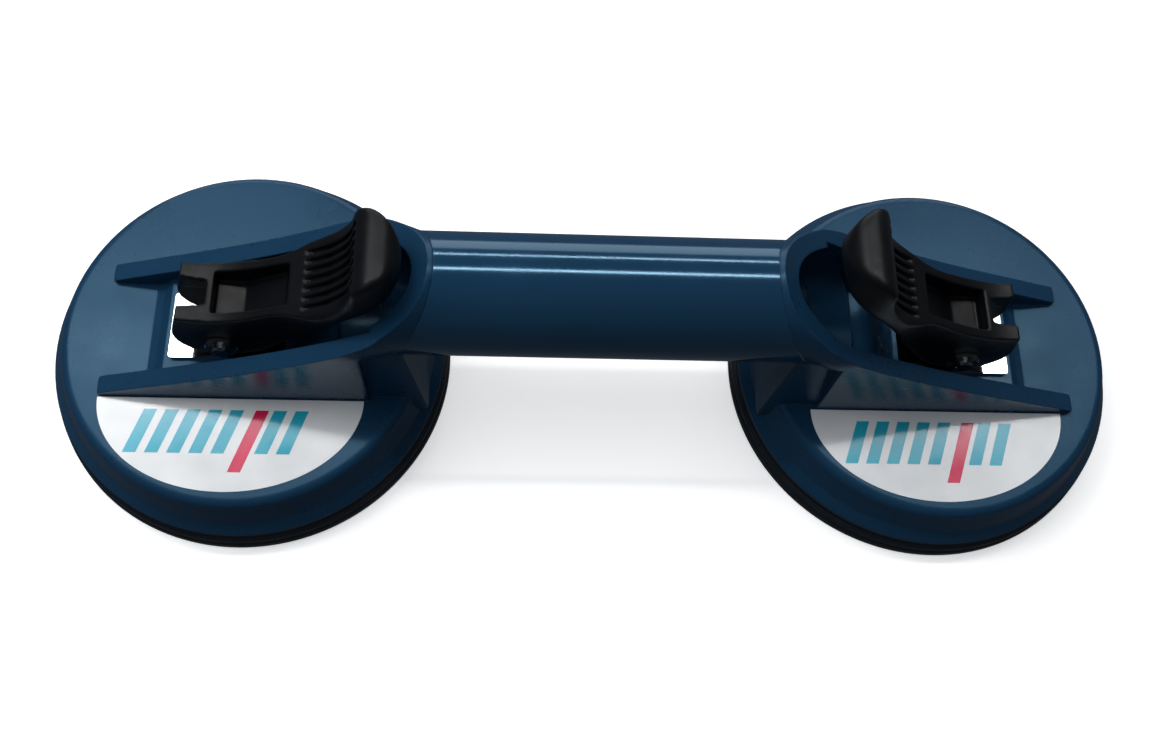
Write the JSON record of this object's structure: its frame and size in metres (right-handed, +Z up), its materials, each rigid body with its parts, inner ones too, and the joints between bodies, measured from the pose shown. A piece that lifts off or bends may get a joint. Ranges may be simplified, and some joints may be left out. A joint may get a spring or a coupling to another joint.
{
  "type": "vacuum suction cup",
  "caption": "Vacuum suction lifter: round rubber-padded cups joined by a tubular handle, with black cam levers that draw the pads up to grip glass, tile or other smooth sheets.",
  "frame": {"origin": "on the ground plane that the sealing rims rest on, midway between the cup axes", "axes": "+X along the handle from the left cup to the right cup, +Z up, -Y towards the side that carries the labels"},
  "size_m": [0.3246, 0.1186, 0.0848],
  "materials": {
    "blue_paint": "glossy dark blue paint on cast aluminium",
    "rubber": "smooth blue-black moulded rubber",
    "zinc_steel": "zinc-plated steel",
    "spring_steel": "oiled spring steel",
    "polished_steel": "polished sheet steel",
    "black_plastic": "satin black moulded plastic",
    "bright_pin": "bright plated steel",
    "label_film": "glossy printed film"
  },
  "bodies": {
    "frame": {"handle_tube": "blue_paint", "left_cup_housing": "blue_paint", "left_rubber_pad": "rubber", "left_spring_seat": "zinc_steel", "left_wear_plate": "polished_steel", "left_label": "label_film", "left_return_spring": "spring_steel", "right_cup_housing": "blue_paint", "right_rubber_pad": "rubber", "right_spring_seat": "zinc_steel", "right_wear_plate": "polished_steel", "right_label": "label_film", "right_return_spring": "spring_steel"},
    "left_stem": {"left_lift_stem": "zinc_steel", "left_pad_insert": "zinc_steel", "left_pivot_pin": "bright_pin", "left_pin_washers": "bright_pin", "left_pin_clips": "spring_steel"},
    "left_lever_arm": {"left_lever": "black_plastic"},
    "right_stem": {"right_lift_stem": "zinc_steel", "right_pad_insert": "zinc_steel", "right_pivot_pin": "bright_pin", "right_pin_washers": "bright_pin", "right_pin_clips": "spring_steel"},
    "right_lever_arm": {"right_lever": "black_plastic"}
  },
  "joints": [
    {"name": "left_stem_lift", "type": "slide", "parent": "frame", "child": "left_stem", "axis": [0, 0, 1], "range_m": [0, 0.006], "stiffness_N_per_m": 1372, "springref_m": -0.004, "deforming": ["left_return_spring"]},
    {"name": "left_lever_swing", "type": "hinge", "parent": "left_stem", "child": "left_lever_arm", "pos_m": [-0.106, 0, 0.034], "axis": [0, -1, 0], "range_deg": [0, 108]},
    {"name": "right_stem_lift", "type": "slide", "parent": "frame", "child": "right_stem", "axis": [0, 0, 1], "range_m": [-0.0005, 0.0055], "stiffness_N_per_m": 1372, "springref_m": -0.0045, "deforming": ["right_return_spring"]},
    {"name": "right_lever_swing", "type": "hinge", "parent": "right_stem", "child": "right_lever_arm", "pos_m": [0.106, 0, 0.0345], "axis": [0, 1, 0], "range_deg": [-9, 99]}
  ],
  "couplings": [
    {"joint": "left_lever_swing", "follows": "left_stem_lift", "rad_per_m": 314.16},
    {"joint": "right_lever_swing", "follows": "right_stem_lift", "rad_per_m": 314.16}
  ]
}
